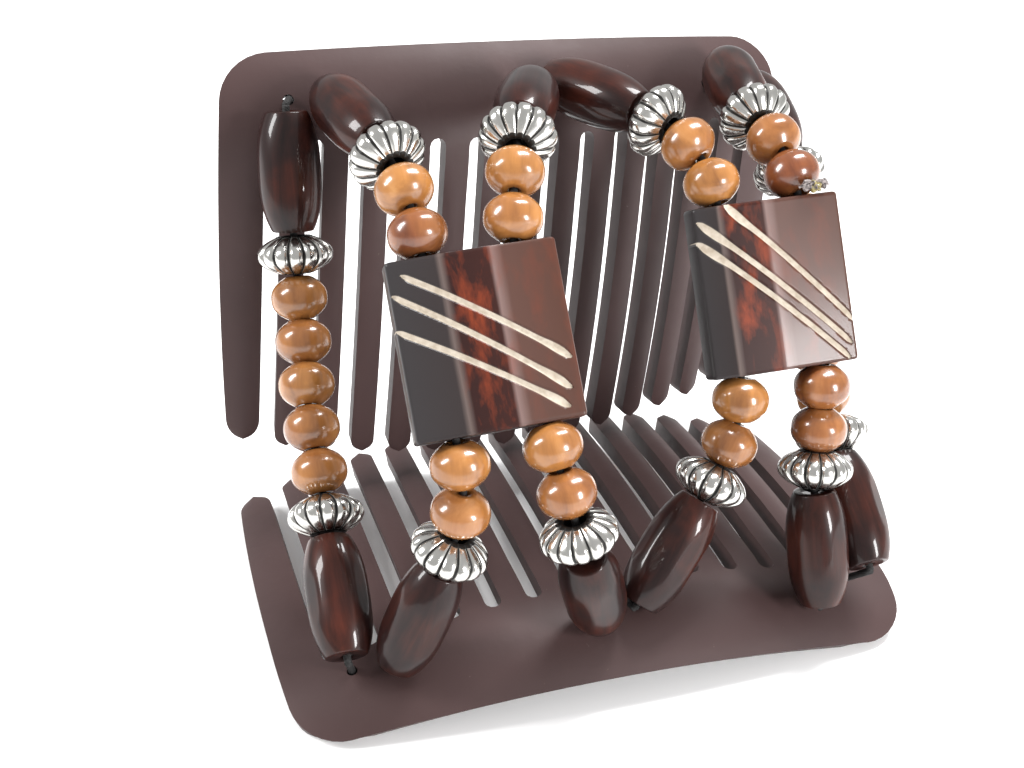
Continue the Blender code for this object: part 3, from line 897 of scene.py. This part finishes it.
def add_elastic(joints, lower_holes, upper_holes, finish):
    back = COMB_THICKNESS + ELASTIC_BEHIND
    for string in range(1, 7):
        beads = bead_ends(joints, string)
        loop = ELASTIC_LOOPS[(string - 1) // 2]
        top, bottom = beads[0], beads[-1]
        high_lead = top[0] + (top[0] - top[1]).normalized() * CORD_LEAD
        low_lead = bottom[1] + (bottom[1] - bottom[0]).normalized() * CORD_LEAD
        line = [high_lead]
        for first, other in beads:
            line += [first.lerp(other, 0.15), first.lerp(other, 0.85)]
        line.append(low_lead)
        add_object(f"elastic_{string}", tube_mesh("elastic", line, ELASTIC_RADIUS), finish, "elastic",
                   BODY_OF_WEB, loop)
        for label, comb, lead, (point, out) in (
            ("upper", "upper_comb", high_lead, upper_holes[string - 1]),
            ("lower", "lower_comb", low_lead, lower_holes[string - 1]),
        ):
            span = [lead, point + out * 0.4 * MM, point - out * COMB_THICKNESS]
            obj = add_object(f"elastic_{string}_{label}", tube_mesh("span", span, ELASTIC_RADIUS), finish,
                             "elastic", None)
            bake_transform(obj)
    for pair in range(3):
        for label, holes in (("upper", upper_holes), ("lower", lower_holes)):
            (a, a_out), (b, b_out) = holes[2 * pair], holes[2 * pair + 1]
            line = [a - a_out * COMB_THICKNESS * 0.8, a - a_out * back, b - b_out * back,
                    b - b_out * COMB_THICKNESS * 0.8]
            add_object(f"elastic_back_{label}_{pair + 1}", tube_mesh("back", line, ELASTIC_RADIUS), finish,
                       "elastic", label + "_comb")


def add_knot(joints, fibre, glue):
    """The right loop's knot, on the right slider bead below a round bead: glued, with frayed ends."""
    lower_end = bead_ends(joints, KNOT_STRING)[KNOT_BELOW][1]
    middle = lower_end + KNOT_OFFSET
    for number, (side, out, size) in enumerate(KNOT_LUMPS):
        bm = bmesh.new()
        bmesh.ops.create_icosphere(bm, subdivisions=4, radius=size * MM)
        for vert in bm.verts:
            dent = math.sin(vert.co.x * DENTS_ACROSS + number) * math.cos(vert.co.z * DENTS_UP)
            vert.co *= 1 + DENT_DEPTH * dent
        finish = glue if number == GLUED_LUMP else fibre
        lump = add_object(f"knot_{number + 1}", new_mesh("knot", bm), finish, "elastic", BODY_OF_WEB)
        lump.matrix_world = Matrix.Translation(middle + Vector((side, out, 0)) * MM)
        lump["seed"] = float(number)
    for number in range(KNOT_STRANDS):
        angle = math.pi * (number + 0.5) / KNOT_STRANDS
        way = Vector((math.cos(angle), -0.55 * math.sin(angle), 0.25 * (number % 3)))
        reach = way * STRAND_REACH * MM
        line = [middle, middle + reach / 2 + STRAND_BEND, middle + reach]
        strand = tube_mesh("strand", line, STRAND_RADIUS)
        add_object(f"knot_strand_{number + 1}", strand, fibre, "elastic", BODY_OF_WEB)


# ---- camera, floor and lights ----


def add_camera():
    camera = bpy.data.objects.new("camera", bpy.data.cameras.new("camera"))
    bpy.context.scene.collection.objects.link(camera)
    back = CAMERA_RIGHT.cross(CAMERA_UP).normalized()
    right, up = CAMERA_RIGHT.normalized(), back.cross(CAMERA_RIGHT).normalized()
    turned = Matrix((right, up, back)).transposed().to_4x4()
    camera.matrix_world = Matrix.Translation(CAMERA_PLACE) @ turned
    camera.data.lens = CAMERA_LENS
    camera.data.sensor_width = 36
    camera.data.clip_start = 0.01
    bpy.context.scene.camera = camera


def add_softbox(name, place, width, height, power):
    light = bpy.data.lights.new(name, "AREA")
    light.shape = "RECTANGLE"
    light.size, light.size_y = width, height
    light.energy = power
    obj = bpy.data.objects.new(name, light)
    bpy.context.scene.collection.objects.link(obj)
    aimed = (LIGHT_TARGET - place).to_track_quat("-Z", "Y").to_matrix().to_4x4()
    obj.matrix_world = Matrix.Translation(place) @ aimed


def add_room():
    bpy.ops.mesh.primitive_plane_add(size=FLOOR_SIZE)
    floor = bpy.context.object
    floor.name = "floor"
    floor.data.materials.append(floor_finish())
    world = bpy.data.worlds.new("studio")
    world.use_nodes = True
    tree = world.node_tree
    path = tree.nodes.new("ShaderNodeLightPath")
    seen = tree.nodes.new("ShaderNodeMapRange")
    seen.inputs["To Min"].default_value = AMBIENT
    seen.inputs["To Max"].default_value = 1.0
    tree.links.new(path.outputs["Is Camera Ray"], seen.inputs["Value"])
    tree.links.new(seen.outputs[0], tree.nodes["Background"].inputs["Strength"])
    tree.nodes["Background"].inputs["Color"].default_value = (1, 1, 1, 1)
    bpy.context.scene.world = world
    bpy.context.scene.view_settings.view_transform = "Standard"
    for name, (place, width, height, power) in SOFTBOXES.items():
        add_softbox(name, place, width, height, power)


def main():
    random.seed(4)
    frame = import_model()
    joints = frame["joints"]
    finishes = {"long": dark_wood(), "round": light_wood(), "pumpkin": antique_silver()}
    plastic = comb_plastic()
    lower, upper = comb_places()
    lower_holes = add_comb("lower_comb", lower, False, LOWER_HOLE_ROW, plastic)
    upper_holes = add_comb("upper_comb", upper, True, UPPER_HOLE_ROW, plastic)
    add_beads(joints, finishes)
    horn_finish = horn()
    for name, spec in SLIDERS.items():
        add_slider(name, spec, horn_finish)
    add_elastic(joints, lower_holes, upper_holes, elastic_finish())
    add_knot(joints, frayed_finish(), glue_finish())
    add_camera()
    add_room()


main()
